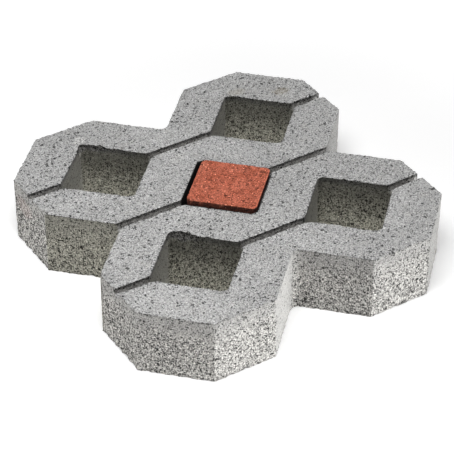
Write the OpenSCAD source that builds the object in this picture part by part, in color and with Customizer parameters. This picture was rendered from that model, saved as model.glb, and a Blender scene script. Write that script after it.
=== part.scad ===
/* [Paver] */
// Side of the square grid that one paver fills when it is laid
module_size = 400; // [360:5:480]
// Thickness of the paver
thickness = 80; // [60:1:120]
// Leg of the slanted cut at each of the four outer corners
corner_cut = 60.5; // [40:0.5:70]

/* [Cells] */
// Side of the square cells, which stand on their corners
cell_side = 87; // [70:0.5:95]
// Radius in the upright corners of the cells
cell_corner_r = 8; // [2:0.5:14]
// Half the width of the V notch in the middle of each side
notch_half = 63.6; // [45:0.2:70]
// Radius at the root of the V notches
notch_root_r = 9; // [3:0.5:14]

/* [Grooves] */
// Width of the dummy joints that run from cell to cell
groove_w = 9.5; // [5:0.5:14]
// Depth of the dummy joints
groove_depth = 9; // [4:0.5:20]
// Radius of the rounded mouths where a dummy joint meets a cell
mouth_r = 12; // [4:0.5:18]

/* [Edges] */
// Radius of the worn upper edge all round the bands
arris_r = 2.5; // [0.5:0.1:3.5]
// Radius of the upright outer edges
upright_r = 3; // [1:0.5:6]

/* [Filler block] */
// Clearance between the block and each wall when it stands in the middle of its cell
block_clearance = 3; // [1:0.1:6]
// Gap that is left at the two walls that the block has slid towards
block_gap = 0.9; // [0.2:0.1:1]
// Height that the block stands proud of the paver
block_proud = 3; // [0:0.5:20]
// Radius of the block's upper edge
block_arris_r = 2; // [0.5:0.1:4]

/* [Hidden] */

// Facets of each upright corner, and of the rounding over the upper edge
corner_steps = 4;
arris_steps = 3;
// Least radius that a corner keeps when its outline is drawn in
least_r = 0.1;
// How far a cut runs past the faces that it opens
overlap = 1;

half = module_size / 2;
// Cell centres lie on a quarter grid, in rows that alternate
step = module_size / 4;
// Half the diagonal of a cell, corner to corner along the rows
cell_half = cell_side / sqrt(2);
groove_half = groove_w / 2;
// Level of the groove floors, where the solid slab ends and the bands begin
slab_top = thickness - groove_depth;
block_side = cell_side - 2 * block_clearance;
block_height = thickness + block_proud;
block_slide = block_clearance - block_gap;
// The block's upright edges are tight, but they still clear the corner of the cell
block_corner_r = cell_corner_r - 2 * block_gap;

// Each outline is a list of [x, y, radius] corners, counterclockwise

// Diamond-shaped cell round the point [x, y]
function cell_outline(x, y) = [
    for (k = [0:3]) [x + cell_half * cos(90 * k), y + cell_half * sin(90 * k), cell_corner_r]];

// One quarter of the paver's outer edge, from one notch root to the next
quarter_edge = [
    [half - notch_half, 0, notch_root_r],
    [half, notch_half, upright_r],
    [half, half - corner_cut, upright_r],
    [half - corner_cut, half, upright_r],
    [notch_half, half, upright_r]];

function turned(p, angle) = [
    p[0] * cos(angle) - p[1] * sin(angle), p[0] * sin(angle) + p[1] * cos(angle), p[2]];

outer_edge = [for (k = [0:3]) for (p = quarter_edge) turned(p, 90 * k)];

// Upper half of a cell in the groove at height 0, with its two rounded mouths
function cell_wave(x) = [
    [x - cell_half + groove_half, groove_half, mouth_r],
    [x, cell_half, cell_corner_r],
    [x + cell_half - groove_half, groove_half, mouth_r]];

// Edge above a groove through two cells, left to right
side_row = concat([[-half, groove_half, upright_r]], cell_wave(-step), cell_wave(step),
    [[half, groove_half, upright_r]]);

// Edge above the groove through the middle cell, between the notches of the ends
middle_row = concat(
    [[-half, notch_half, upright_r], [-half + notch_half - groove_half, groove_half, mouth_r]],
    cell_wave(0),
    [[half - notch_half + groove_half, groove_half, mouth_r], [half, notch_half, upright_r]]);

// Outer edge of the paver along its side, right to left
outer_row = [
    [half, half - corner_cut, upright_r],
    [half - corner_cut, half, upright_r],
    [notch_half, half, upright_r],
    [0, half - notch_half, notch_root_r],
    [-notch_half, half, upright_r],
    [-half + corner_cut, half, upright_r],
    [-half, half - corner_cut, upright_r]];

function raised(points, y) = [for (p = points) [p[0], p[1] + y, p[2]]];
function backwards(points) = [for (k = [len(points) - 1:-1:0]) points[k]];
// The edge below a groove mirrors the edge above it, and runs right to left
function under(points) = backwards([for (p = points) [p[0], -p[1], p[2]]]);

inner_band = concat(middle_row, raised(under(side_row), step));
outer_band = concat(raised(side_row, step), outer_row);

function unit(v) = v / norm(v);
function left_of(v) = [-v[1], v[0]];
function plane(p) = [p[0], p[1]];

// Points round one corner of an outline that is drawn in by a distance
function corner_points(before, corner, after, inset) =
    let (
        d1 = unit(plane(corner) - plane(before)),
        d2 = unit(plane(after) - plane(corner)),
        turn = atan2(d1[0] * d2[1] - d1[1] * d2[0], d1 * d2),
        side = sign(turn),
        r = max(corner[2] - side * inset, least_r),
        tip = plane(corner) + inset * (left_of(d1) + left_of(d2)) / (1 + d1 * d2),
        start = tip - d1 * r * tan(abs(turn) / 2),
        centre = start + side * r * left_of(d1))
    [for (k = [0:corner_steps])
        let (a = turn * k / corner_steps)
        centre - side * r * (left_of(d1) * cos(a) - d1 * sin(a))];

// All points of an outline with its corners rounded, drawn in by a distance
function rounded(outline, inset = 0) = [
    for (k = [0:len(outline) - 1])
        each corner_points(
            outline[(k + len(outline) - 1) % len(outline)],
            outline[k],
            outline[(k + 1) % len(outline)],
            inset)];

// Profile of what wear takes off an upper edge, as [inset, level] corners
function wear_profile(top, r) = concat(
    [[r, top + overlap], [-overlap, top + overlap], [-overlap, top - r]],
    [for (k = [0:arris_steps])
        let (a = 90 * k / arris_steps)
        [r * (1 - cos(a)), top - r * (1 - sin(a))]]);

// Closed ring with the worn profile, carried round an outline
module worn_ring(outline, top, r) {
    profile = wear_profile(top, r);
    rings = [for (s = profile) rounded(outline, s[0])];
    count = len(rings[0]);
    sides = len(profile);
    points = [for (j = [0:sides - 1]) for (p = rings[j]) [p[0], p[1], profile[j][1]]];
    faces = [for (j = [0:sides - 1]) for (k = [0:count - 1])
        let (up = (j + 1) % sides, next = (k + 1) % count)
        [j * count + k, j * count + next, up * count + next, up * count + k]];
    polyhedron(points = points, faces = faces);
}

// Solid with upright walls and a rounded upper edge
module worn_block(outline, foot, top, r) {
    difference() {
        translate([0, 0, foot])
            linear_extrude(height = top - foot)
                polygon(rounded(outline));
        worn_ring(outline, top, r);
    }
}

// Lower part of the paver, up to the groove floors
module slab() {
    linear_extrude(height = slab_top)
        difference() {
            polygon(rounded(outer_edge));
            polygon(rounded(cell_outline(0, 0)));
            for (x = [-step, step])
                for (y = [-step, step])
                    polygon(rounded(cell_outline(x, y)));
        }
}

// The four wavy bands between the grooves, which carry the wheels
module bands() {
    for (flip = [0, 1])
        mirror([0, flip, 0]) {
            worn_block(inner_band, slab_top, thickness, arris_r);
            worn_block(outer_band, slab_top, thickness, arris_r);
        }
}

module grass_paver() {
    color("#a9a9a7") {
        slab();
        bands();
    }
}

// Red block that stands loose in the middle cell, slid towards two of its walls
module filler_block() {
    block_outline = [for (s = [[1, 1], [-1, 1], [-1, -1], [1, -1]])
        [s[0] * block_side / 2, s[1] * block_side / 2, block_corner_r]];
    color("#b5664e")
        rotate(45)
            translate([block_slide, -block_slide, 0])
                worn_block(block_outline, 0, block_height, block_arris_r);
}

grass_paver();
filler_block();
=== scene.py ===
"""Concrete grass grid paver with a red filler block in its middle cell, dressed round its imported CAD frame.

Lengths in the shape functions are millimetres, as in the CAD source. put_mesh and move_points turn them into
metres.
"""

import math

import bmesh
import bpy
import numpy as np
from mathutils import Matrix, Vector
from mathutils.geometry import delaunay_2d_cdt


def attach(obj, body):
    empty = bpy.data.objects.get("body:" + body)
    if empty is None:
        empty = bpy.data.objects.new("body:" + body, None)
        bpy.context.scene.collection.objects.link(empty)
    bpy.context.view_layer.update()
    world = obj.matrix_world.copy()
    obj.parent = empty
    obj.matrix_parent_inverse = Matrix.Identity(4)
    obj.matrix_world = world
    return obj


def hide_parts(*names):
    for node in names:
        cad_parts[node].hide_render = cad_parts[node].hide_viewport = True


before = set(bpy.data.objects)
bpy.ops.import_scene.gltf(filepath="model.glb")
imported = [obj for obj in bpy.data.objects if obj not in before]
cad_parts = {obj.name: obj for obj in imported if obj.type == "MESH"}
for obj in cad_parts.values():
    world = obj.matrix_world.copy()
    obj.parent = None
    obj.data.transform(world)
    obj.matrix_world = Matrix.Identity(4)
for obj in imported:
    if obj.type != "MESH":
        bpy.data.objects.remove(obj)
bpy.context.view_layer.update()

# The plan of the paver, as in its CAD source. Cuts, side cells, notches and grooves are drawn 0.5 mm tighter,
# because the relief takes about as much off their walls, and the upright edges are crisper.
HALF = 200.0
THICKNESS = 80.0
CORNER_CUT = 59.8
MIDDLE_HALF = 87.0 / math.sqrt(2)
CELL_HALF = MIDDLE_HALF - 0.7
CELL_R = 8.0
NOTCH_HALF = 62.9
ROOT_R = 9.0
GROOVE_HALF = 4.2
FLOOR = 71.0
MOUTH_R = 12.0
UPRIGHT_R = 1.0
ROW_STEP = 100.0
LEAST_R = 0.1
CUT = HALF - CORNER_CUT
# Sum of x and y on the corner cuts
CUT_SUM = HALF + CUT
DIAGONAL = math.sqrt(0.5)
# Points below this level stand on the ground
ON_GROUND = 0.01

# The filler block
BLOCK_HALF = 40.5
BLOCK_SLIDE = 2.1
BLOCK_HEIGHT = 83.0
BLOCK_R = 6.2


# Noise, worked out for whole arrays of points

def lattice(points, size, seed):
    """Smooth noise from -1 to 1: random values on a cubic lattice of that size, blended by smoothsteps."""
    table = np.random.default_rng(seed).uniform(-1, 1, (32, 32, 32))
    p = points / size + 0.37 * (seed % 17)
    base = np.floor(p).astype(int)
    f = p - base
    f = f * f * f * (f * (6 * f - 15) + 10)
    total = np.zeros(len(points))
    for i in (0, 1):
        for j in (0, 1):
            for k in (0, 1):
                cell = (base + (i, j, k)) % 32
                share = np.abs(1 - i - f[:, 0]) * np.abs(1 - j - f[:, 1]) * np.abs(1 - k - f[:, 2])
                total += share * table[cell[:, 0], cell[:, 1], cell[:, 2]]
    return total


def layered(points, size, seed, layers=4, fall=0.55):
    """Sum of lattice noise at that size and at halves of it, each layer weaker by fall."""
    total = np.zeros(len(points))
    for k in range(layers):
        total += fall ** k * lattice(points, size / 2 ** k, seed + 7 * k)
    return total


def pebbles(points, size, seed):
    """Distance to the nearest of random points, one in each cell of that size, as a share of the size."""
    table = np.random.default_rng(seed).uniform(0, 1, (24, 24, 24, 3))
    p = points / size
    base = np.floor(p).astype(int)
    near = np.full(len(points), 9.0)
    for i in (-1, 0, 1):
        for j in (-1, 0, 1):
            for k in (-1, 0, 1):
                cell = base + (i, j, k)
                wrapped = cell % 24
                spot = cell + table[wrapped[:, 0], wrapped[:, 1], wrapped[:, 2]]
                near = np.minimum(near, np.linalg.norm(p - spot, axis=1))
    return near


def smooth(low, high, x):
    """Smoothstep of x from 0 at low to 1 at high."""
    t = np.clip((x - low) / (high - low), 0, 1)
    return t * t * (3 - 2 * t)


# Outlines: closed lists of corners, each followed by a straight stretch

def left_of(v):
    return np.array([-v[1], v[0]])


def bend(before, corner, after, radius, inset):
    """The tip, reach and directions of one rounded corner of an outline that is drawn in by inset."""
    d1 = (corner - before) / np.linalg.norm(corner - before)
    d2 = (after - corner) / np.linalg.norm(after - corner)
    turn = math.atan2(d1[0] * d2[1] - d1[1] * d2[0], float(d1 @ d2))
    side = math.copysign(1, turn)
    r = np.maximum(radius - side * inset, LEAST_R)
    tip = corner + inset[..., None] * (left_of(d1) + left_of(d2)) / (1 + d1 @ d2)
    reach = (r * math.tan(abs(turn) / 2))[..., None]
    return d1, d2, turn, side, r[..., None], tip, reach


def corner_points(before, corner, after, radius, inset, sharp):
    """Arc round a corner. Where sharp is 1, its points lie on both tangents, with the tip in the middle."""
    d1, d2, turn, side, r, tip, reach = bend(before, corner, after, radius, inset)
    count = inset.shape[1]
    a = np.linspace(0, turn, count)[:, None]
    centre = tip - d1 * reach + side * r * left_of(d1)
    arc = centre - side * r * (left_of(d1) * np.cos(a) - d1 * np.sin(a))
    t = np.linspace(-1, 1, count)[:, None]
    edges = tip + reach * (np.minimum(t, 0) * d1 + np.maximum(t, 0) * d2)
    return arc + (edges - arc) * sharp[:, None, None]


def outline(corners, inset, sharp):
    """All points of a closed outline, row by row.

    corners holds (x, y, radius, arc steps, splits, straight steps). inset has a row for each level and a
    column for each point. sharp has one value for each level, and only corners that split follow it.
    """
    plan = np.array([c[:2] for c in corners], float)
    count = len(corners)
    parts = []
    at = 0
    for k, (_, _, radius, steps, splits, straight) in enumerate(corners):
        before, corner, after, beyond = (plan[(k + i) % count] for i in (-1, 0, 1, 2))
        here = inset[:, at:at + steps + 1]
        parts.append(corner_points(before, corner, after, radius, here, sharp * splits))
        at += steps + 1
        there = inset[:, at:at + straight - 1]
        _, d2, _, _, _, tip, reach = bend(before, corner, after, radius, there)
        begin = tip + d2 * reach
        d1, _, _, _, _, tip, reach = bend(corner, after, beyond, corners[(k + 1) % count][2], there)
        finish = tip - d1 * reach
        t = np.arange(1, straight)[:, None] / straight
        parts.append(begin + (finish - begin) * t)
        at += straight - 1
    return np.concatenate(parts, axis=1)


def point_count(corners):
    return sum(c[3] + c[5] for c in corners)


# Points along the long edges of a band and across its ends, and the straight steps of an end
ALONG = 248
ACROSS = 28
END = ACROSS - 3


def side_row(y, flip):
    """Edge of a band along a groove that passes two side cells, left to right, cells bulging towards flip."""
    g = y + flip * GROOVE_HALF
    tip = y + flip * CELL_HALF
    reach = CELL_HALF - GROOVE_HALF
    row = [(-HALF, g, UPRIGHT_R, 4, 1, 18)]
    for x, after in ((-ROW_STEP, 36), (ROW_STEP, 18)):
        row += [(x - reach, g, MOUTH_R, 4, 1, 36), (x, tip, CELL_R, 6, 0, 36)]
        row.append((x + reach, g, MOUTH_R, 4, 1, after))
    return row + [(HALF, g, UPRIGHT_R, 4, 1, 0)]


def backwards(row):
    """The same row from its other end, each corner with the straight stretch that now follows it."""
    turned = row[::-1]
    straights = [c[5] for c in row[:-1]][::-1] + [0]
    return [c[:5] + (s,) for c, s in zip(turned, straights)]


def ending(row, straight):
    """The row with that many straight steps after its last corner."""
    return row[:-1] + [row[-1][:5] + (straight,)]


NOTCH_MOUTH = HALF - NOTCH_HALF + GROOVE_HALF
MIDDLE_MOUTH = MIDDLE_HALF - GROOVE_HALF
MIDDLE_ROW = [
    (-HALF, NOTCH_HALF, UPRIGHT_R, 2, 0, 39),
    (-NOTCH_MOUTH, GROOVE_HALF, MOUTH_R, 4, 1, 38),
    (-MIDDLE_MOUTH, GROOVE_HALF, MOUTH_R, 4, 1, 35),
    (0, MIDDLE_HALF, CELL_R, 6, 0, 35),
    (MIDDLE_MOUTH, GROOVE_HALF, MOUTH_R, 4, 1, 38),
    (NOTCH_MOUTH, GROOVE_HALF, MOUTH_R, 4, 1, 39),
    (HALF, NOTCH_HALF, UPRIGHT_R, 2, 0, 0),
]
OUTER_ROW = [
    (HALF, CUT, UPRIGHT_R, 2, 0, 40),
    (CUT, HALF, UPRIGHT_R, 2, 0, 34),
    (NOTCH_HALF, HALF, UPRIGHT_R, 2, 0, 41),
    (0, HALF - NOTCH_HALF, ROOT_R, 8, 0, 41),
    (-NOTCH_HALF, HALF, UPRIGHT_R, 2, 0, 34),
    (-CUT, HALF, UPRIGHT_R, 2, 0, 40),
    (-HALF, CUT, UPRIGHT_R, 2, 0, 0),
]
INNER_BAND = ending(MIDDLE_ROW, END) + ending(backwards(side_row(ROW_STEP, -1)), END)
OUTER_BAND = ending(side_row(ROW_STEP, 1), END) + ending(OUTER_ROW, END)


def runs(corners, pairs):
    """First and last point of each run from the middle of one corner to the middle of another, onwards.

    The points are numbered from the middle of the first corner.
    """
    starts = np.cumsum([0] + [c[3] + c[5] for c in corners])
    middles = [int(s) + c[3] // 2 - corners[0][3] // 2 for s, c in zip(starts, corners)]
    return [(middles[a], middles[b] + (int(starts[-1]) if b < a else 0)) for a, b in pairs]


# Where the walls of the bands run, and where their grooves run
INNER_WALLS = runs(INNER_BAND, ((14, 1), (2, 4), (5, 7), (8, 10), (11, 13)))
OUTER_WALLS = runs(OUTER_BAND, ((1, 3), (4, 6), (7, 0)))
INNER_GROOVES = runs(INNER_BAND, ((1, 2), (4, 5)))
SIDE_GROOVES = runs(OUTER_BAND, ((0, 1), (3, 4), (6, 7)))
WALL_LEVELS = np.concatenate([np.linspace(FLOOR, 40, 14)[:-1], np.linspace(40, 1.5, 13), [0.0]])


def quads(rows, columns):
    """Corner numbers of the quads of a grid of points that is numbered row by row."""
    k = np.arange(rows * columns).reshape(rows, columns)
    return np.stack([k[:-1, :-1], k[:-1, 1:], k[1:, 1:], k[1:, :-1]], axis=-1).reshape(-1, 4)


def grid(points):
    """A patch from an array of points (rows, columns, 3): its points as a list, and its quads."""
    rows, columns = points.shape[:2]
    return points.reshape(-1, 3), quads(rows, columns)


def joined(patches):
    """The points and the quads of all patches, as one list each."""
    starts = np.cumsum([0] + [len(p) for p, _ in patches])
    faces = [q + s for (_, q), s in zip(patches, starts)]
    return np.concatenate([p for p, _ in patches]), np.concatenate(faces)


def spanned(loop, along, across, eased=False):
    """Grid inside a closed loop: both rulings between its four edges, less the one between its corners.

    With u along and v across, it is (1 - v) low + v high + (1 - u) left + u right, less the four corners by
    their shares. Eased, u changes only near the ends, so that the middle is ruled straight across.
    """
    low, right = loop[:along + 1], loop[along:along + across + 1]
    high, left = loop[along + across:2 * along + across + 1][::-1], loop[2 * along + across:][::-1]
    v = np.linspace(0, 1, across + 1)[:, None, None]
    u = np.linspace(0, 1, along + 1)[None, :, None]
    if eased:
        u = smooth(0.0, 0.16, u) * 0.5 + smooth(0.84, 1.0, u) * 0.5
    between = low[None] * (1 - v) + high[None] * v
    ends = left[:, None] * (1 - u) + right[:, None] * u
    corners = (low[0] * (1 - v) + high[0] * v) * (1 - u) + (low[-1] * (1 - v) + high[-1] * v) * u
    return between + ends - corners


def at_level(plan, z):
    """Plan points (..., 2) as points (..., 3) at level z."""
    return np.concatenate([plan, np.broadcast_to(np.asarray(z, float), plan.shape[:-1])[..., None]], axis=-1)


def band_patches(corners, walls, seed):
    """The patches of one wavy band, its ring over the worn edge, its top and its walls, and then its plan.

    The ring has four rows from the groove floors up to the wear, five over it, and one more on the top,
    0.6 mm further in, which keeps the shading of the top flat. At angle a over the wear of radius r, a row is
    drawn in by r (1 - cos a), and lies r (1 - sin a) under the top. The radius changes along the outline.
    """
    count = point_count(corners)
    flat = outline(corners, np.zeros((1, count)), np.ones(1))[0]
    spots = at_level(flat, 0.0)
    wear = 0.9 + 0.25 * lattice(spots, 34, seed) + 0.4 * lattice(spots, 9, seed + 1)
    tight = smooth(GROOVE_HALF + 1.0, GROOVE_HALF + 0.2, off_groove(spots))
    wear = np.clip(wear + 0.2 * rim(spots), 0.5, 2.4) * (1 - 0.4 * tight)
    up = np.array([0, 0.3, 0.62, 0.93, 1, 1, 1, 1, 1, 1])[:, None]
    over = np.concatenate([np.zeros(4), np.linspace(0, math.pi / 2, 5), [math.pi / 2]])[:, None]
    inset = wear * (1 - np.cos(over))
    inset[-1] += 0.6
    level = FLOOR + (THICKNESS - FLOOR - wear) * up + wear * np.sin(over)
    sharp = np.array([1, 0.55, 0.18, 0, 0, 0, 0, 0, 0, 0], float)
    ring = at_level(outline(corners, inset, sharp), level)
    closed = closed_ring(ring, corners)
    flat = closed_ring(flat[None], corners)[0, :-1]
    patches = [grid(closed), grid(spanned(closed[-1], ALONG, ACROSS, True))]
    for first, last in walls:
        patches.append(upright(np.take(flat, np.arange(first, last + 1), axis=0, mode="wrap")))
    return patches, flat


def closed_ring(ring, corners):
    """Rows of outline points that start, and end again, at the middle of the first corner."""
    ring = np.roll(ring, -(corners[0][3] // 2), axis=1)
    return np.concatenate([ring, ring[:, :1]], axis=1)


def upright(run):
    """Patch of a wall that stands on a run of plan points."""
    return grid(np.stack([at_level(run, z) for z in WALL_LEVELS]))


def groove_patches(low, high, bulges):
    """Floor of a groove between two bands, the strip under it on the ground, and those down its two ends.

    The ends bulge into the cell or notch there by a parabola.
    """
    v = np.linspace(0, 1, 5)
    plan = low[None] * (1 - v[:, None, None]) + high[None] * v[:, None, None]
    curve = (1 - (2 * v - 1) ** 2)[:, None]
    steps = np.arange(len(low))[None, :]
    start, end = np.maximum(0, 1 - steps / 4), np.maximum(0, 1 - (len(low) - 1 - steps) / 4)
    fade = start * bulges[0] + end * bulges[1]
    plan = plan + (curve * fade)[..., None] * np.array([1.0, 0.0])
    return [grid(at_level(plan, FLOOR)), grid(at_level(plan, 0.0)), upright(plan[:, 0]), upright(plan[:, -1])]


def tip_bulge(radius):
    """How far the rounded tip of a cell or notch lies from the line between the corners of its groove.

    The tip lies behind that line, but the ends of the grooves bulge in front of it by as much. So below the
    groove floors they stand proud of the tips by twice this: 1.8 mm in the cells, and 0.9 mm in the notches.
    """
    return GROOVE_HALF - radius * (math.sqrt(2) - 1)


def paver_mesh():
    """The paver as points, quads, and the triangles of its underside, and then the plans of its four bands.

    The two bands at -Y mirror those at +Y, apart from their wear.
    """
    inner, inner_plan = band_patches(INNER_BAND, INNER_WALLS, 11)
    outer, outer_plan = band_patches(OUTER_BAND, OUTER_WALLS, 23)
    inner_back, _ = band_patches(INNER_BAND, INNER_WALLS, 37)
    outer_back, _ = band_patches(OUTER_BAND, OUTER_WALLS, 53)
    flip = np.array([1.0, -1.0, 1.0])
    patches = inner + outer + [(p * flip, q) for p, q in inner_back + outer_back]
    cell, root = tip_bulge(CELL_R), tip_bulge(ROOT_R)
    upper = inner_plan[ALONG + ACROSS:2 * ALONG + ACROSS + 1][::-1]
    for (first, last), bulges in zip(SIDE_GROOVES, ((0, cell), (-cell, cell), (-cell, 0))):
        made = groove_patches(upper[first:last + 1], outer_plan[first:last + 1], bulges)
        patches += made + [(p * flip, q) for p, q in made]
    for (first, last), bulges in zip(INNER_GROOVES, ((-root, cell), (-cell, root))):
        low = inner_plan[first:last + 1]
        patches += groove_patches(low * (1, -1), low, bulges)
    points, faces = joined(patches)
    under = []
    for plan in (inner_plan, outer_plan, inner_plan * (1, -1), outer_plan * (1, -1)):
        under.append(underside(plan) + len(points))
        points = np.concatenate([points, at_level(plan, 0.0)])
    plans = [inner_plan, outer_plan, (inner_plan * (1, -1))[::-1], (outer_plan * (1, -1))[::-1]]
    return merged(points, faces, np.concatenate(under)) + (plans,)


def underside(plan):
    """Triangles that fill a closed outline, numbered as its points are."""
    area = np.sum(plan[:, 0] * np.roll(plan[:, 1], -1) - plan[:, 1] * np.roll(plan[:, 0], -1))
    face = list(range(len(plan))) if area > 0 else list(range(len(plan)))[::-1]
    _, _, faces, origin, _, inside = delaunay_2d_cdt([Vector(p) for p in plan], [], [face], 1, 1e-6, True)
    number = np.array([o[0] for o in origin])
    kept = [f for f, parents in zip(faces, inside) if parents]
    return number[np.array(kept)]


def merged(points, faces, triangles):
    """One point for each place, and the quads and triangles on the merged points."""
    keys = np.round(points / 0.004 + 0.371).astype(np.int64)
    _, first, back = np.unique(keys, axis=0, return_index=True, return_inverse=True)
    back = back.ravel()
    return points[first], back[faces], back[triangles]


def put_mesh(name, points, quad, triangle):
    """A Blender mesh object at the origin, in metres, with its faces turned outwards."""
    mesh = bpy.data.meshes.new(name)
    corners = np.concatenate([quad.ravel(), triangle.ravel()])
    sizes = np.concatenate([np.full(len(quad), 4), np.full(len(triangle), 3)])
    mesh.vertices.add(len(points))
    mesh.vertices.foreach_set("co", (points * 0.001).ravel())
    mesh.loops.add(len(corners))
    mesh.loops.foreach_set("vertex_index", corners.astype(np.int32))
    mesh.polygons.add(len(sizes))
    mesh.polygons.foreach_set("loop_start", np.concatenate([[0], np.cumsum(sizes)[:-1]]).astype(np.int32))
    mesh.update(calc_edges=True)
    shell = bmesh.new()
    shell.from_mesh(mesh)
    bmesh.ops.recalc_face_normals(shell, faces=shell.faces)
    shell.to_mesh(mesh)
    shell.free()
    made = bpy.data.objects.new(name, mesh)
    bpy.context.scene.collection.objects.link(made)
    return made


def vertex_normals(piece):
    """The outward normal at each point of a piece."""
    normals = np.empty(3 * len(piece.data.vertices), np.float32)
    piece.data.vertices.foreach_get("normal", normals)
    return normals.reshape(-1, 3).astype(float)


def move_points(piece, points):
    """Gives a piece its final points and shades it smooth, save over its hard edges."""
    piece.data.vertices.foreach_set("co", (points * 0.001).ravel())
    piece.data.update()
    piece.data.shade_smooth()
    piece.data.set_sharp_from_angle(angle=math.radians(50))


def rim(points):
    """1 on the outer edge of the paver, with its corner cuts and notches, and 0 on cells and grooves."""
    x, y = np.abs(points[:, 0]), np.abs(points[:, 1])
    side = smooth(HALF - 3.0, HALF - 0.5, np.maximum(x, y))
    cut = smooth(CUT_SUM - 4.2, CUT_SUM - 1.2, x + y)
    root = HALF - NOTCH_HALF
    notch = smooth(root - 4.1, root - 1.1, np.abs(x - y)) * smooth(root - 3.1, root + 0.9, np.maximum(x, y))
    return np.maximum(np.maximum(side, cut), notch)


def to_right(normals):
    """1 where a normal points right in the picture, between +X and -Y, and -1 where it points left."""
    return (normals[:, 0] - normals[:, 1]) * DIAGONAL


def rough_faces(points, normals):
    """Each point moved inwards along its normal, by 0.55 mm less waves, lumps and grit, and more in the pits.

    The factors are heights in mm. Walls are rougher than the top, most of all low down, but for the smooth
    ones that face -X +Y or +X -Y. Worn edges and the foot are ragged.
    """
    wall = 1 - smooth(0.35, 0.8, normals[:, 2])
    polished = smooth(0.8, 0.95, np.abs(to_right(normals)))
    low = wall * smooth(70, 56, points[:, 2] + 5 * lattice(points, 22, 3)) * (1 - 0.85 * polished)
    edge = smooth(0.15, 0.4, normals[:, 2]) * smooth(0.97, 0.85, normals[:, 2])
    foot = wall * smooth(4.0, 2.0, points[:, 2])
    wave = 0.22 * lattice(points, 70, 5) * (0.5 + wall)
    lumps = (0.07 + 0.07 * wall) * layered(points, 17, 9, 2)
    grit = (0.05 + 0.04 * wall + 0.10 * low) * layered(points, 5.5, 13, 2)
    grit += (0.06 + 0.12 * wall + 0.12 * low) * lattice(points, 2.3, 15) * (1 - 0.8 * polished)
    grit += (2.6 * edge + 1.3 * foot) * lattice(points, 1.7, 43) - 0.4 * edge
    grit += 1.1 * edge * lattice(points, 4.3, 47)
    crowd = smooth(-0.25, 0.45, lattice(points, 26, 41))
    pits = smooth(0.42, 0.12, pebbles(points, 8.5, 17)) * (0.25 + 0.9 * low) * crowd
    pits += 0.5 * smooth(0.4, 0.1, pebbles(points + 3.3, 5.5, 19)) * low
    depth = 0.55 - wave - lumps - grit + 1.15 * pits
    depth *= 1 - 0.7 * middle_cell(points, 1.6)
    return points - normals * np.maximum(depth, 0.0)[:, None]


def bitten(points, centres, radii, seed, rough=1.0):
    """Each ball, wavy by noise, pushes the points inside it out to its surface and leaves a scooped chip."""
    points = points.copy()
    for centre, radius in zip(centres, radii):
        near = np.nonzero(np.abs(points - centre).max(axis=1) < radius * 1.3)[0]
        if len(near) == 0:
            continue
        v = points[near] - centre
        far = np.maximum(np.linalg.norm(v, axis=1), 1e-6)
        ragged = 1.1 * lattice(points[near], 4.5, seed) + 0.5 * lattice(points[near], 2.2, seed + 1)
        reach = radius + min(rough, radius / 5) * ragged
        push = np.maximum(reach / far, 1.0)
        points[near] = centre + v * push[:, None]
    return points


def edge_chips(plans, seed):
    """Balls for small chips at random places on the upper edges, and fewer and flatter ones on the foot."""
    rng = np.random.default_rng(seed)
    centres, radii = [], []
    for plan in plans:
        after = np.roll(plan, -1, axis=0) - plan
        length = np.maximum(np.linalg.norm(after, axis=1, keepdims=True), 1e-6)
        out = np.stack([after[:, 1], -after[:, 0]], axis=1) / length
        for level, count, least, most in ((THICKNESS, 240, 1.3, 3.6), (0.0, 80, 1.6, 4.4)):
            pick = rng.integers(0, len(plan), count)
            radius = least + (most - least) * rng.random(count) ** 2.2
            away = radius * rng.uniform(0.35, 0.75, count)
            spot = plan[pick] + out[pick] * (away * rng.uniform(0.2, 0.9, count))[:, None]
            lift = away * (1.0 if level else -0.7)
            centres.append(np.concatenate([spot, (level + lift)[:, None]], axis=1))
            radii.append(radius)
    return np.concatenate(centres), np.concatenate(radii)


# Deep chips that the real paver has on its outer edges, as balls: x, y, z, radius
OUTER_CHIPS = np.array([
    (-202, 96, 84, 7.5), (-202, 104, 83, 6.5), (-203, 66, 84, 8.5), (-203, 135, 84, 6.5),
    (-201, -98, 83, 6.0), (-201, -104, 83, 5.5), (-202, -62, 84, 7.0), (-66, -203, 83, 5.5),
    (60, -203, 83, 5.0), (-140, -203, -2, 5.0), (-204, -70, -2, 6.5), (150, -190, 83, 4.5),
    (-204, -84, -1, 5.5), (-205, -99, -2, 7.5), (-204, -113, -1, 6.5), (-205, -128, -2, 7.0),
    (-204, 126, -1, 6.0), (-205, 108, -2, 7.5), (-204, 92, -1, 6.0), (-205, 74, -2, 7.0),
])
# Broken stretches of the far edges of two cells: cell x, cell y, place along the edge, depth, radius
BROKEN_EDGES = np.array([
    (-100, 100, 5, 2.4, 9), (-100, 100, 11, 3.4, 9), (-100, 100, 18, 2.6, 9), (-100, 100, 25, 3.2, 10),
    (-100, 100, 32, 2.2, 9), (-100, 100, 40, 1.4, 7), (-100, -100, 8, 2.6, 9), (-100, -100, 14, 4.0, 10),
    (-100, -100, 21, 4.2, 10), (-100, -100, 28, 2.8, 9), (-100, -100, 35, 1.6, 7), (100, 100, 20, 1.6, 7),
    (100, -100, 30, 1.6, 7), (100, -100, 46, 1.6, 7), (-100, -100, 45, 1.6, 7), (-100, 100, 47, 1.4, 6),
])


def broken_edges():
    """Balls level with the top, set into the opening, so that each bites a steep face into the far edge."""
    x, y, along, depth, radius = BROKEN_EDGES.T
    back = radius - depth
    x = x + DIAGONAL * (along - back)
    y = y + CELL_HALF - DIAGONAL * (along + back)
    return np.stack([x, y, np.full(len(x), THICKNESS - 2.0)], axis=1), radius


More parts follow.
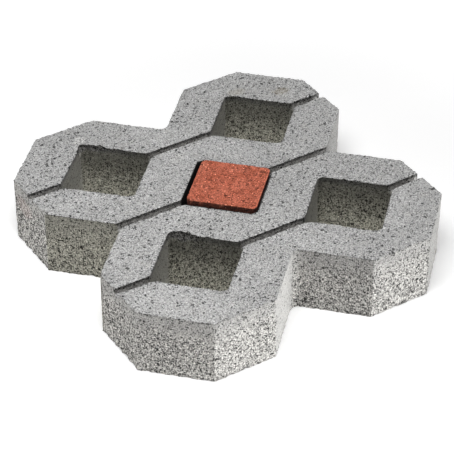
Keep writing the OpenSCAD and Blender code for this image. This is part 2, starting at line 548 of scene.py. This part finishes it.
def make_paver():
    """The grey paver as one closed mesh, rough and chipped, with its masks."""
    points, quad, triangle, plans = paver_mesh()
    piece = put_mesh("paver", points, quad, triangle)
    foot = points[:, 2] < ON_GROUND
    normals = vertex_normals(piece)
    normals[foot, 2] = 0
    rough = rough_faces(points, normals)
    chipped = bitten(rough, *edge_chips(plans, 71), 83)
    chipped = bitten(chipped, OUTER_CHIPS[:, :3], OUTER_CHIPS[:, 3], 97)
    moved = bitten(chipped, *broken_edges(), 103, 1.7)
    scar = (0.4 + 0.5 * far_edges(points)) * smooth(0.3, 1.2, np.linalg.norm(chipped - rough, axis=1))
    broken = np.maximum(scar, smooth(0.1, 0.8, np.linalg.norm(moved - chipped, axis=1)))
    moved[:, 2] += groove_fill(points)
    moved[:, 1] += groove_shift(points)
    moved[foot, 2] = 0
    move_points(piece, np.clip(moved, (-HALF, -HALF, 0), (HALF, HALF, THICKNESS)))
    left = smooth(0.8, 0.95, to_right(normals))
    paint(piece, "olive", olive_walls(points, left) * (1 - broken))
    # Painted shade: down the cells, darker higher up, in the gap round the block, on some outer walls, and on
    # the chips.
    paint(piece, "painted_shade", np.maximum(painted_wall_shade(points, left), 1.1 * broken))
    paint(piece, "broken", broken)
    # Dirt and painted shadow in the grooves.
    paint(piece, "dirt_and_shade", groove_dirt_and_shade(points))
    paint(piece, "rim", inner_rims(points))
    return piece


# Masks of the paver, from its points before they were moved

def from_cells(points):
    """How far each point lies from the middle of the nearest cell, as a sum along X and Y."""
    x, y = np.abs(points[:, 0]), np.abs(points[:, 1])
    return np.minimum(np.abs(x - ROW_STEP) + np.abs(y - ROW_STEP), x + y)


def in_notch(points, x, y):
    """1 on the walls of the notch in the middle of the side at x, y."""
    return smooth(NOTCH_HALF + 2.6, NOTCH_HALF + 1.1, np.abs(points[:, 0] - x) + np.abs(points[:, 1] - y))


def under_edge(points):
    """1 on all but the top."""
    return smooth(THICKNESS - 0.4, THICKNESS - 1.4, points[:, 2])


def in_cells(points):
    """1 down the walls of the cells."""
    return smooth(64.0, 62.8, from_cells(points)) * under_edge(points)


def olive_walls(points, left):
    """How green each point is: the cells, less so at their lip and on the left, and the left notch."""
    lip = smooth(70, 76, points[:, 2])
    cell = in_cells(points) * (1 - 0.5 * left - 0.5 * lip)
    return np.maximum(cell, 0.8 * in_notch(points, -HALF, 0) * under_edge(points))


def painted_wall_shade(points, left):
    """How much painted shade darkens each point: the cells, more so higher up, most in the middle one round
    the block, and the shaded outer walls.
    """
    upper = smooth(12, 66, points[:, 2])
    lip = smooth(70, 76, points[:, 2])
    most = (0.32 + 0.73 * upper + 0.25 * lip) * (1 - left)
    painted_shade = in_cells(points) * (most + (0.12 + 0.35 * lip + 0.1 * upper) * left)
    # Painted shadow in the gap round the block: down the walls of the middle cell, and on its near rim.
    painted_shade += 1.5 * middle_cell(points, smooth(2, -4, points[:, 1]) * 1.3)
    return np.maximum(painted_shade, outer_wall_shade(points))


def outer_wall_shade(points):
    """How much painted shade darkens some outer faces: the left notch, and those from the front to the right
    notch.
    """
    x, y, _ = points.T
    left = 0.5 * in_notch(points, -HALF, 0)
    front = 0.3 * in_notch(points, 0, -HALF) * smooth(0, 8, x)
    right = 0.65 * in_notch(points, HALF, 0)
    cut = 0.38 * smooth(CUT_SUM - 4.2, CUT_SUM - 1.2, x - y)
    side = 0.09 * smooth(2.0 - HALF, 1.0 - HALF, y) * smooth(50, 60, x)
    return np.max([left, front, right, cut, side], axis=0) * under_edge(points)


def middle_cell(points, beyond):
    """1 down the walls of the middle cell and up to that far beyond them, and 0 from 1 mm further on."""
    inner = MIDDLE_HALF * DIAGONAL - CELL_R
    u = np.abs(points[:, 0] + points[:, 1]) * DIAGONAL - inner
    v = np.abs(points[:, 0] - points[:, 1]) * DIAGONAL - inner
    off = np.hypot(np.maximum(u, 0), np.maximum(v, 0)) - CELL_R
    return smooth(beyond + 1.0, beyond, off)


def far_edges(points):
    """1 near the edges of the cells that face -X and -Y, where the mould tore the concrete. Chips there get
    more painted shade.
    """
    x, y = points[:, 0], points[:, 1]
    side = np.where(np.abs(x) + np.abs(y) < 80, 0.0, ROW_STEP)
    u, v = x - side * np.sign(x), y - side * np.sign(y)
    return smooth(6.0, 3.0, np.abs(u + v - CELL_HALF)) * smooth(CELL_HALF + 6, CELL_HALF - 2, np.abs(u - v))


def off_groove(points):
    """How far each point lies from the middle line of the nearest groove."""
    y = points[:, 1]
    return np.minimum(np.abs(y), np.abs(np.abs(y) - ROW_STEP))


def inner_rims(points):
    """1 on the upper edges of the cells and grooves, fading out within 3 mm on the top."""
    near = np.maximum(smooth(66.6, 64.4, from_cells(points)), smooth(7.6, 6.2, off_groove(points)))
    return near * smooth(THICKNESS - 3.0, THICKNESS - 1.0, points[:, 2])


def groove_fill(points):
    """How much higher the mortar stands in the grooves where they run out on the left."""
    rest = np.clip((THICKNESS - points[:, 2]) / (THICKNESS - FLOOR), 0, 1)
    rest *= smooth(FLOOR - 0.8, FLOOR - 0.1, points[:, 2])
    inside = smooth(GROOVE_HALF + 1.5, GROOVE_HALF + 0.8, off_groove(points))
    return 2.0 * rest * inside * smooth(-180, -198, points[:, 0])


def groove_shift(points):
    """How far the grooves lie off their middle lines, towards +Y, between the cells and notches."""
    x, y = np.abs(points[:, 0]), np.abs(points[:, 1])
    opening = np.minimum(from_cells(points), HALF - x + y)
    return smooth(12.0, 6.0, off_groove(points)) * smooth(61.0, 70.0, opening)


def groove_dirt_and_shade(points):
    """1 on the floor of the grooves and up their sides, higher on the one that faces -Y, and 0 elsewhere:
    dirt there, with painted shadow under the lips.
    """
    far = smooth(-1.0, 1.0, points[:, 1] - ROW_STEP * np.round(points[:, 1] / ROW_STEP))
    height = smooth(78.6 + 1.3 * far, 74.5 + 4.3 * far, points[:, 2]) * smooth(66, FLOOR - 0.5, points[:, 2])
    inside = smooth(GROOVE_HALF + 2.0, GROOVE_HALF + 0.5, off_groove(points))
    return inside * height * smooth(-230, -180, points[:, 0])


def paint(piece, name, values):
    """Keeps one value for each point of the mesh, for its material."""
    layer = piece.data.attributes.new(name, "FLOAT", "POINT")
    layer.data.foreach_set("value", values.astype(np.float32))


def make_block():
    """The red block: a ring with rounded corners from the ground over the worn edge, a top and a foot."""
    side = 56
    over_rows = 7
    h = BLOCK_HALF
    corners = [(s * h, t * h, BLOCK_R, 8, 0, side - 8) for s, t in ((-1, -1), (1, -1), (1, 1), (-1, 1))]
    count = point_count(corners)
    flat = outline(corners, np.zeros((1, count)), np.zeros(1))[0]
    wear = 1.4 + 0.5 * lattice(at_level(flat, 0.0), 16, 5) + 0.4 * lattice(at_level(flat, 0.0), 6, 6)
    levels = np.concatenate([[0, 1.2, 3.5], np.linspace(6, 76, 40)])
    over = np.linspace(0, math.pi / 2, over_rows)[:, None]
    crown = BLOCK_HEIGHT - wear + wear * np.sin(over)
    level = np.concatenate([np.repeat(levels[:, None], count, axis=1), crown])
    inset = np.concatenate([np.zeros((len(levels), count)), wear * (1 - np.cos(over))])
    closed = closed_ring(at_level(outline(corners, inset, np.zeros(len(level))), level), corners)
    patches = [grid(closed), grid(spanned(closed[-1], side, side)), grid(spanned(closed[0], side, side))]
    points, quad, triangle = merged(*joined(patches), np.zeros((0, 3), int))
    piece = put_mesh("block", points, quad, triangle)
    normals = vertex_normals(piece)
    grounded = points[:, 2] < ON_GROUND
    normals[grounded, 2] = 0
    depth = 0.16 - 0.1 * layered(points, 20, 3, 3) - 0.12 * layered(points, 4.5, 21, 2)
    depth += 0.35 * smooth(0.38, 0.1, pebbles(points, 7.0, 29))
    points = points - normals * np.maximum(depth, 0)[:, None]
    points[grounded, 2] = 0
    points = np.clip(points, (-h, -h, 0), (h, h, BLOCK_HEIGHT))
    x, y = points[:, 0] + BLOCK_SLIDE, points[:, 1] - BLOCK_SLIDE
    points[:, 0] = (x - y) * DIAGONAL
    points[:, 1] = (x + y) * DIAGONAL
    move_points(piece, points)
    # The sides below the worn edge, which the red material darkens as painted shadow in the gap round the
    # block.
    paint(piece, "side", smooth(BLOCK_HEIGHT - 0.5, BLOCK_HEIGHT - 1.4, points[:, 2]))
    return piece


# Materials. Lengths in the node groups are millimetres.

def put(tree, kind, inputs=None, **settings):
    """A new node with its settings. inputs holds values, or sockets to link, by socket name or number."""
    made = tree.nodes.new(kind)
    for name, value in settings.items():
        setattr(made, name, value)
    for key, value in (inputs or {}).items():
        if isinstance(value, bpy.types.NodeSocket):
            tree.links.new(value, made.inputs[key])
        else:
            made.inputs[key].default_value = value
    return made


def maths(tree, operation, a, b=0.0, c=0.0):
    return put(tree, "ShaderNodeMath", {0: a, 1: b, 2: c}, operation=operation).outputs[0]


def plus(tree, base, mask, by):
    """base + mask * by"""
    return maths(tree, "MULTIPLY_ADD", mask, by, base)


def times(tree, a, b):
    """a * b"""
    return maths(tree, "MULTIPLY", a, b)


def changed(tree, value, mask, by):
    """value * (1 + mask * by)"""
    return times(tree, value, plus(tree, 1.0, mask, by))


def ramp(tree, value, low, high, to_low=0.0, to_high=1.0):
    """Smooth step of a value from low to high."""
    limits = {"Value": value, "From Min": low, "From Max": high, "To Min": to_low, "To Max": to_high}
    return put(tree, "ShaderNodeMapRange", limits, interpolation_type="SMOOTHSTEP").outputs["Result"]


def vectors(tree, operation, a, b=(0, 0, 0)):
    return put(tree, "ShaderNodeVectorMath", {0: a, 1: b}, operation=operation).outputs


def blend_colours(tree, share, a, b, how="MIX"):
    """Colour a with that share of colour b."""
    made = put(tree, "ShaderNodeMix", {0: share, 6: a, 7: b}, data_type="RGBA", blend_type=how)
    return made.outputs[2]


def noise(tree, vector, scale, detail=3.0, roughness=0.55, lift=0.0):
    """Noise of about -1 to 1 at a scale in waves per mm."""
    shifted = vectors(tree, "ADD", vector, (lift, lift * 1.7, lift * 0.6))[0]
    made = put(tree, "ShaderNodeTexNoise", {"Vector": shifted, "Scale": scale, "Detail": detail,
               "Roughness": roughness})
    limits = {"Value": made.outputs["Fac"], "From Min": 0.25, "From Max": 0.75, "To Min": -1.0, "To Max": 1.0}
    return put(tree, "ShaderNodeMapRange", limits, clamp=False).outputs["Result"]


def new_group(name, inputs, outputs):
    """A node group with its sockets, each (name, kind, default). Returns it, its inputs and its outputs."""
    tree = bpy.data.node_groups.new(name, "ShaderNodeTree")
    for title, kind, default in inputs:
        socket = tree.interface.new_socket(name=title, in_out="INPUT", socket_type=kind)
        if default is not None:
            socket.default_value = default
    for title, kind, _ in outputs:
        tree.interface.new_socket(name=title, in_out="OUTPUT", socket_type=kind)
    return tree, tree.nodes.new("NodeGroupInput").outputs, tree.nodes.new("NodeGroupOutput").inputs


def grain_group():
    """Sand and grit: Tone is random for each grain and darker in the joints. Height is its rounded relief."""
    tree, given, out = new_group(
        "sand_grain",
        [("Vector", "NodeSocketVector", None), ("Size", "NodeSocketFloat", 1.2)],
        [("Tone", "NodeSocketFloat", 0), ("Height", "NodeSocketFloat", 0)])
    scale = maths(tree, "DIVIDE", 1.0, given["Size"])
    grains = put(tree, "ShaderNodeTexVoronoi", {"Vector": given["Vector"], "Scale": scale, "Randomness": 0.8},
                 feature="F1")
    hue = put(tree, "ShaderNodeSeparateColor", {0: grains.outputs["Color"]})
    fine = noise(tree, given["Vector"], times(tree, scale, 1.3), 2.0, 0.6, 5.0)
    tone = plus(tree, 0.43, grains.outputs["Distance"], -1.3)
    pale = ramp(tree, hue.outputs[1], 0.9, 0.95)
    for part, by in ((hue.outputs[0], 0.3), (fine, 0.2), (pale, 0.3)):
        tone = plus(tree, tone, part, by)
    tree.links.new(tone, out["Tone"])
    dome = ramp(tree, grains.outputs["Distance"], 0.0, 0.75, 1.0, 0.0)
    lift = plus(tree, times(tree, dome, 0.7), hue.outputs[2], 0.6)
    tree.links.new(plus(tree, lift, fine, 0.25), out["Height"])
    return tree


def pore_group():
    """Voids: balls round random points, bent out of round. More says how many there are, and how wide."""
    tree, given, out = new_group(
        "voids",
        [("Vector", "NodeSocketVector", None), ("Size", "NodeSocketFloat", 3.0),
         ("More", "NodeSocketFloat", 0.5)],
        [("Mask", "NodeSocketFloat", 0), ("Height", "NodeSocketFloat", 0)])
    scale = maths(tree, "DIVIDE", 1.0, given["Size"])
    swirl = put(tree, "ShaderNodeTexNoise", {"Vector": given["Vector"], "Scale": times(tree, scale, 1.4),
                "Detail": 1.0})
    pull = vectors(tree, "SUBTRACT", swirl.outputs["Color"], (0.5, 0.5, 0.5))[0]
    pull = put(tree, "ShaderNodeVectorMath", {0: pull, 3: times(tree, given["Size"], 1.5)}, operation="SCALE")
    bent = vectors(tree, "ADD", given["Vector"], pull.outputs[0])[0]
    middles = put(tree, "ShaderNodeTexVoronoi", {"Vector": bent, "Scale": scale, "Randomness": 0.9},
                  feature="F1")
    chance = put(tree, "ShaderNodeSeparateColor", {0: middles.outputs["Color"]}).outputs[0]
    share = maths(tree, "DIVIDE", chance, maths(tree, "MAXIMUM", given["More"], 0.01))
    radius = plus(tree, 0.62, share, -0.62)
    over = maths(tree, "SUBTRACT", radius, middles.outputs["Distance"])
    tree.links.new(ramp(tree, over, 0.0, 0.08), out["Mask"])
    tree.links.new(ramp(tree, over, -0.08, 0.25, 1.0, 0.0), out["Height"])
    return tree


def grouped(tree, group, inputs):
    """A placed node group with its inputs."""
    return put(tree, "ShaderNodeGroup", inputs, node_tree=group)


def painted(tree, name):
    """The values that paint has kept under that name."""
    return put(tree, "ShaderNodeAttribute", attribute_name=name).outputs["Fac"]


def stain(tree, vector, centre, reach, wobble):
    """Mask of one soft stain: 1 at its centre in mm, 0 beyond its reach in x, y and z, with a ragged edge."""
    placed = put(tree, "ShaderNodeMapping", {"Vector": vector, "Location": centre, "Scale": reach},
                 vector_type="TEXTURE")
    far = vectors(tree, "LENGTH", placed.outputs[0])["Value"]
    return ramp(tree, plus(tree, far, wobble, 0.3), 0.45, 1.0, 1.0, 0.0)


def grey(level, warm=0.0):
    """A grey of that sRGB level from 0 to 255, made warmer or cooler, as linear colour."""
    return tuple((max(0.0, level + shift) / 255) ** 2.2 for shift in (warm, warm * 0.35, -warm)) + (1.0,)


def new_material(name):
    """An empty material. Returns it, its nodes, its texture coordinates, and the place on the piece in mm."""
    material = bpy.data.materials.new(name)
    material.use_nodes = True
    tree = material.node_tree
    tree.nodes.clear()
    place = tree.nodes.new("ShaderNodeTexCoord")
    vector = vectors(tree, "MULTIPLY", place.outputs["Object"], (1000, 1000, 1000))[0]
    return material, tree, place, vector


def shaded(tree, colour, light):
    """The colour, made darker or lighter by a factor."""
    shade = put(tree, "ShaderNodeCombineColor", {0: light, 1: light, 2: light})
    return blend_colours(tree, 1.0, colour, shade.outputs[0], "MULTIPLY")


def hollowed(tree, light, height, hollows):
    """Light and height over hollows, each given as its placed group, how dark it is, and how deep. The dark
    is painted shade, with dirt.
    """
    for hollow, dark, deep in hollows:
        light = changed(tree, light, hollow.outputs["Mask"], -dark)
        height = plus(tree, height, hollow.outputs["Height"], deep)
    return light, height


def close_material(tree, colour, height, roughness, gloss):
    """The shader of a concrete, with its relief in mm, linked to the output."""
    relief = put(tree, "ShaderNodeBump", {"Strength": 1.0, "Distance": 0.001, "Height": height})
    shader = put(tree, "ShaderNodeBsdfPrincipled", {"Base Color": colour, "Roughness": roughness,
                 "Specular IOR Level": gloss, "Normal": relief.outputs[0]})
    out = tree.nodes.new("ShaderNodeOutputMaterial")
    tree.links.new(shader.outputs[0], out.inputs["Surface"])


# Reds of the block, in linear colour
RED_DARK, RED_LIGHT = (0.38, 0.095, 0.052, 1), (0.46, 0.13, 0.078, 1)
RED_SPECK = (0.80, 0.42, 0.28, 1)
# Greys of the paver: the darker and lighter stretches of its top, the fine and the coarse mix on its walls,
# its smooth walls, and the pale bloom in patches over all of them
TOP_DARK, TOP_LIGHT = grey(165, 0.5), grey(177, 0.5)
WALL_FINE, WALL_COARSE = grey(148, 1.5), grey(184, 3.5)
WALL_SMOOTH = grey(174, 2.5)
BLOOM = grey(178, 4)
# Stains on it: the middle and the reach of each, in mm
BROWN_SPOT = (162, 134, 80), (14, 10, 6)
MORTAR_SPOT = (-97, 171, 80), (12, 8, 6)
PINK_SPOT = (-200, 118, 55), (12, 22, 16)
YELLOW_SPOT = (116, 160, 80), (16, 10, 6)


def paver_material(grains, voids):
    """Grey vibrated concrete: a fine face mix on top and a coarse, open one below it on the walls."""
    material, tree, place, vector = new_material("grey_concrete")
    level = put(tree, "ShaderNodeSeparateXYZ", {0: vector}).outputs["Z"]
    facing = put(tree, "ShaderNodeSeparateXYZ", {0: place.outputs["Normal"]}).outputs
    broad = noise(tree, vector, 0.018, 3.0, 0.5, 1.0)
    patchy = noise(tree, vector, 0.09, 3.0, 0.55, 2.0)
    mottle = noise(tree, vector, 0.35, 3.0, 0.6, 4.0)
    crowd = plus(tree, noise(tree, vector, 0.2, 2.0, 0.5, 7.0), patchy, 0.5)
    broken, olive, painted_shade = (painted(tree, name) for name in ("broken", "olive", "painted_shade"))
    dirt_and_shade, rimmed = (painted(tree, name) for name in ("dirt_and_shade", "rim"))

    # Masks: walls, the smooth ones, the coarse mix, worn edges, the top and foot of walls, and faces to -X
    steep = ramp(tree, facing["Z"], 0.45, 0.85, 1.0, 0.0)
    across = maths(tree, "ABSOLUTE", maths(tree, "SUBTRACT", facing["X"], facing["Y"]))
    polished = ramp(tree, across, 1.15, 1.36)
    smoothed = times(tree, polished, steep)
    coarse = times(tree, ramp(tree, plus(tree, level, patchy, 8.0), 44.0, 76.0, 1.0, 0.36), steep)
    coarse = maths(tree, "MAXIMUM", changed(tree, coarse, polished, -0.85), broken)
    edge = times(tree, ramp(tree, facing["Z"], 0.1, 0.3), ramp(tree, facing["Z"], 0.93, 0.98, 1.0, 0.0))
    brink = times(tree, maths(tree, "MAXIMUM", ramp(tree, level, 76.0, 77.5), ramp(tree, level, 5, 2)), steep)
    # Faces towards -X get more dark pits and gaps: partly real pitting, partly painted shade on the side the
    # key lamp leaves unlit.
    pits_and_shade_side = ramp(tree, facing["X"], -0.8, -0.95)

    # Grains and hollows, from pinholes to nicks in the upper edge, and how many of each kind there are
    sand = grouped(tree, grains, {"Vector": vector, "Size": 1.6})
    gravel = grouped(tree, grains, {"Vector": vector, "Size": 1.8})
    many = plus(tree, 0.32, patchy, 0.05)
    many = plus(tree, plus(tree, many, coarse, 0.3), edge, 0.4)
    pinholes = grouped(tree, voids, {"Vector": vector, "Size": 1.7, "More": many})
    some = plus(tree, plus(tree, -0.04, coarse, 0.6), crowd, 0.25)
    some = times(tree, some, ramp(tree, coarse, 0.0, 0.3, 0.16, 1.0))
    for mask, more in ((brink, 0.4), (pits_and_shade_side, 0.2), (rimmed, 0.5)):
        some = plus(tree, some, mask, more)
    pits = grouped(tree, voids, {"Vector": vector, "Size": 1.65, "More": some})
    few = plus(tree, plus(tree, plus(tree, -0.42, coarse, 0.6), crowd, 0.35), pits_and_shade_side, 0.28)
    gaps = grouped(tree, voids, {"Vector": vector, "Size": 2.7, "More": few})
    line = times(tree, ramp(tree, level, 76.6, 77.4), ramp(tree, level, 79.6, 79.0))
    line = times(tree, line, plus(tree, 0.55, patchy, 0.4))
    nicks = grouped(tree, voids, {"Vector": vector, "Size": 3.4, "More": line})
    tone = put(tree, "ShaderNodeMix", {0: coarse, 2: sand.outputs["Tone"], 3: gravel.outputs["Tone"]},
               data_type="FLOAT").outputs[0]
    tone = changed(tree, tone, smoothed, -0.6)

    # Light: the tone of the grains, dark hollows, dark seams along the grooves, painted shade, and pale
    # crumbled rims
    light = maths(tree, "MULTIPLY_ADD", tone, plus(tree, 1.15, steep, 0.25), 1.12)
    light = changed(tree, light, mottle, 0.03)
    light = changed(tree, light, times(tree, crowd, olive), -0.14)
    height = plus(tree, times(tree, sand.outputs["Height"], 0.4), mottle, 0.2)
    # The hollows are darkened with dirt and painted shade.
    light, height = hollowed(tree, light, height, (
        (pinholes, 0.95, 0.6), (pits, 0.92, 2.0), (gaps, 0.88, 3.2), (nicks, 0.75, 1.5)))
    # Seams: dirt in the grooves and painted shadow under their lips, darker higher up the groove walls.
    seam = times(tree, ramp(tree, plus(tree, dirt_and_shade, mottle, 0.35), 0.2, 0.8), ramp(tree, dirt_and_shade, 0.0, 0.15))
    seam = times(tree, seam, ramp(tree, plus(tree, level, mottle, 1.8), 74.4, 76.8, 0.12, 0.64))
    crumbled = times(tree, rimmed, ramp(tree, gravel.outputs["Tone"], 0.05, 0.3))
    # Painted shade on worn outer edges that face +X +Y, away from the lamps, but not on the rims of cells and
    # grooves.
    beyond = ramp(tree, maths(tree, "ADD", facing["X"], facing["Y"]), 0.1, 0.5)
    beyond = times(tree, beyond, times(tree, edge, ramp(tree, rimmed, 0.0, 0.5, 1.0, 0.0)))
    for mask, by in ((seam, -1.0), (painted_shade, -0.61), (crumbled, 0.3), (beyond, -0.35)):
        light = changed(tree, light, mask, by)
    light = maths(tree, "MAXIMUM", light, 0.03)

    colour = blend_colours(tree, ramp(tree, broad, -0.8, 0.8), TOP_DARK, TOP_LIGHT)
    colour = blend_colours(tree, steep, colour, WALL_FINE)
    colour = blend_colours(tree, coarse, colour, WALL_COARSE)
    colour = blend_colours(tree, smoothed, colour, WALL_SMOOTH)
    colour = blend_colours(tree, times(tree, ramp(tree, patchy, 0.1, 0.9), 0.25), colour, BLOOM)
    colour = shaded(tree, colour, light)
    colour = blend_colours(tree, olive, colour, (1.0, 1.0, 0.88, 1), "MULTIPLY")
    brown = stain(tree, vector, *BROWN_SPOT, mottle)
    colour = blend_colours(tree, times(tree, brown, 0.4), colour, grey(150, 13))
    crumbs = grouped(tree, voids, {"Vector": vector, "Size": 3.2, "More": times(tree, brown, 0.8)})
    colour = blend_colours(tree, times(tree, crumbs.outputs["Mask"], brown), colour, grey(78, 12))
    spilt = stain(tree, vector, *MORTAR_SPOT, mottle)
    spilt = times(tree, spilt, ramp(tree, gravel.outputs["Tone"], -0.05, 0.15))
    colour = blend_colours(tree, spilt, colour, grey(222, 2))
    pink = times(tree, stain(tree, vector, *PINK_SPOT, patchy), 0.28)
    colour = blend_colours(tree, pink, colour, (0.42, 0.31, 0.28, 1))
    yellow = times(tree, stain(tree, vector, *YELLOW_SPOT, patchy), 0.22)
    colour = blend_colours(tree, yellow, colour, (0.42, 0.38, 0.27, 1))
    close_material(tree, colour, height, 0.93, 0.25)
    return material


def block_material(grains, voids):
    """Red concrete, coloured through, with pale specks of sand, and painted shade on its sides."""
    material, tree, _, vector = new_material("red_concrete")
    patchy = noise(tree, vector, 0.07, 3.0, 0.55, 2.0)
    mottle = noise(tree, vector, 0.4, 3.0, 0.6, 4.0)
    sand = grouped(tree, grains, {"Vector": vector, "Size": 1.6})
    pinholes = grouped(tree, voids, {"Vector": vector, "Size": 1.6, "More": 0.42})
    pits = grouped(tree, voids, {"Vector": vector, "Size": 4.0, "More": 0.04})
    colour = blend_colours(tree, ramp(tree, patchy, -0.8, 0.8), RED_DARK, RED_LIGHT)
    pale = times(tree, ramp(tree, sand.outputs["Tone"], 0.42, 0.6), 0.55)
    colour = blend_colours(tree, pale, colour, RED_SPECK)
    light = changed(tree, plus(tree, 1.24, sand.outputs["Tone"], 1.3), mottle, 0.05)
    height = plus(tree, times(tree, sand.outputs["Height"], 0.4), mottle, 0.2)
    # The hollows of the block are darkened with dirt and painted shade.
    light, height = hollowed(tree, light, height, ((pinholes, 0.8, 0.6), (pits, 0.6, 1.2)))
    # Painted shadow on the sides of the block, which stand in the gap round it.
    light = changed(tree, light, painted(tree, "side"), -0.86)
    close_material(tree, shaded(tree, colour, light), height, 0.9, 0.3)
    return material


def dress(piece, node, material):
    """The piece stands for its CAD node, rides on the one body, and takes its material."""
    piece.data.materials.append(material)
    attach(piece, "root")
    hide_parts(node)


# The stage: a white floor, soft lamps, a pale room and the camera

def make_floor():
    """A white floor, 0.4 mm under the paver, that glows to the camera and whitens further out."""
    mesh = bpy.data.meshes.new("floor")
    mesh.from_pydata([(-6, -6, 0), (6, -6, 0), (6, 6, 0), (-6, 6, 0)], [], [(0, 1, 2, 3)])
    floor = bpy.data.objects.new("floor", mesh)
    bpy.context.scene.collection.objects.link(floor)
    floor.location.z = -0.0004
    material = bpy.data.materials.new("white_floor")
    material.use_nodes = True
    tree = material.node_tree
    tree.nodes.clear()
    seen = tree.nodes.new("ShaderNodeLightPath")
    shader = put(tree, "ShaderNodeBsdfPrincipled", {"Base Color": (0.82, 0.82, 0.82, 1), "Roughness": 0.95,
                 "Specular IOR Level": 0.1, "Emission Color": (1, 1, 1, 1)})
    place = tree.nodes.new("ShaderNodeTexCoord")
    far = vectors(tree, "LENGTH", place.outputs["Object"])["Value"]
    glow = times(tree, seen.outputs["Is Camera Ray"], ramp(tree, far, 0.3, 1.0, 0.3, 0.9))
    tree.links.new(glow, shader.inputs["Emission Strength"])
    out = tree.nodes.new("ShaderNodeOutputMaterial")
    tree.links.new(shader.outputs[0], out.inputs["Surface"])
    mesh.materials.append(material)


def make_room(level):
    """A pale room whose light is even all round. The camera itself sees plain white."""
    world = bpy.data.worlds.new("room")
    world.use_nodes = True
    tree = world.node_tree
    tree.nodes.clear()
    seen = tree.nodes.new("ShaderNodeLightPath")
    strength = ramp(tree, seen.outputs["Is Camera Ray"], 0.0, 1.0, level, 1.0)
    shader = put(tree, "ShaderNodeBackground", {"Color": (1, 1, 1, 1), "Strength": strength})
    out = tree.nodes.new("ShaderNodeOutputWorld")
    tree.links.new(shader.outputs[0], out.inputs["Surface"])
    bpy.context.scene.world = world


def make_lamp(name, towards, distance, width, height, level, colour=(1, 1, 1)):
    """A soft lamp that shines at the paver from a direction. At level 1 it lights a face as written."""
    direction = Vector(towards).normalized()
    data = bpy.data.lights.new(name, "AREA")
    data.shape = "RECTANGLE"
    data.size = width
    data.size_y = height
    data.energy = level * math.pi ** 2 * distance ** 2
    data.color = colour
    lamp = bpy.data.objects.new(name, data)
    lamp.visible_camera = False
    lamp.location = direction * distance
    lamp.rotation_euler = direction.to_track_quat("Z", "Y").to_euler()
    bpy.context.scene.collection.objects.link(lamp)


def make_camera():
    """A pinhole camera, fitted to 48 corners of the paver: axes, place, and focal length in pixels."""
    right = Vector((0.84695208, -0.53166791, 0.00118822))
    up = Vector((0.31923765, 0.51033327, 0.79852819))
    back = Vector((-0.4251582, -0.67593579, 0.60195624))
    place = Vector((-0.93035733, -1.48014440, 1.33995555))
    focal = 1895.404
    picture_width = 454
    sensor_width = 36
    data = bpy.data.cameras.new("camera")
    data.sensor_width = sensor_width
    data.lens = sensor_width * focal / picture_width
    data.clip_start = 0.05
    data.clip_end = 50
    camera = bpy.data.objects.new("camera", data)
    turn = Matrix((right, up, back)).transposed().to_4x4()
    camera.matrix_world = Matrix.Translation(place) @ turn
    bpy.context.scene.collection.objects.link(camera)
    bpy.context.scene.camera = camera


make_camera()
make_floor()
make_room(0.25)
make_lamp("key", (0.65, -0.76, 0.009), distance=5.0, width=3.2, height=0.08, level=1.16,
          colour=(0.97, 0.983, 1))
make_lamp("fill", (-0.80, 0.56, 0.10), distance=2.4, width=1.2, height=0.45, level=0.42)
make_lamp("top", (-0.25, -0.26, 1.0), distance=1.4, width=0.7, height=0.7, level=0.82)

grains = grain_group()
voids = pore_group()
dress(make_paver(), "grass_paver", paver_material(grains, voids))
dress(make_block(), "filler_block", block_material(grains, voids))

bpy.context.scene.view_settings.view_transform = "Standard"
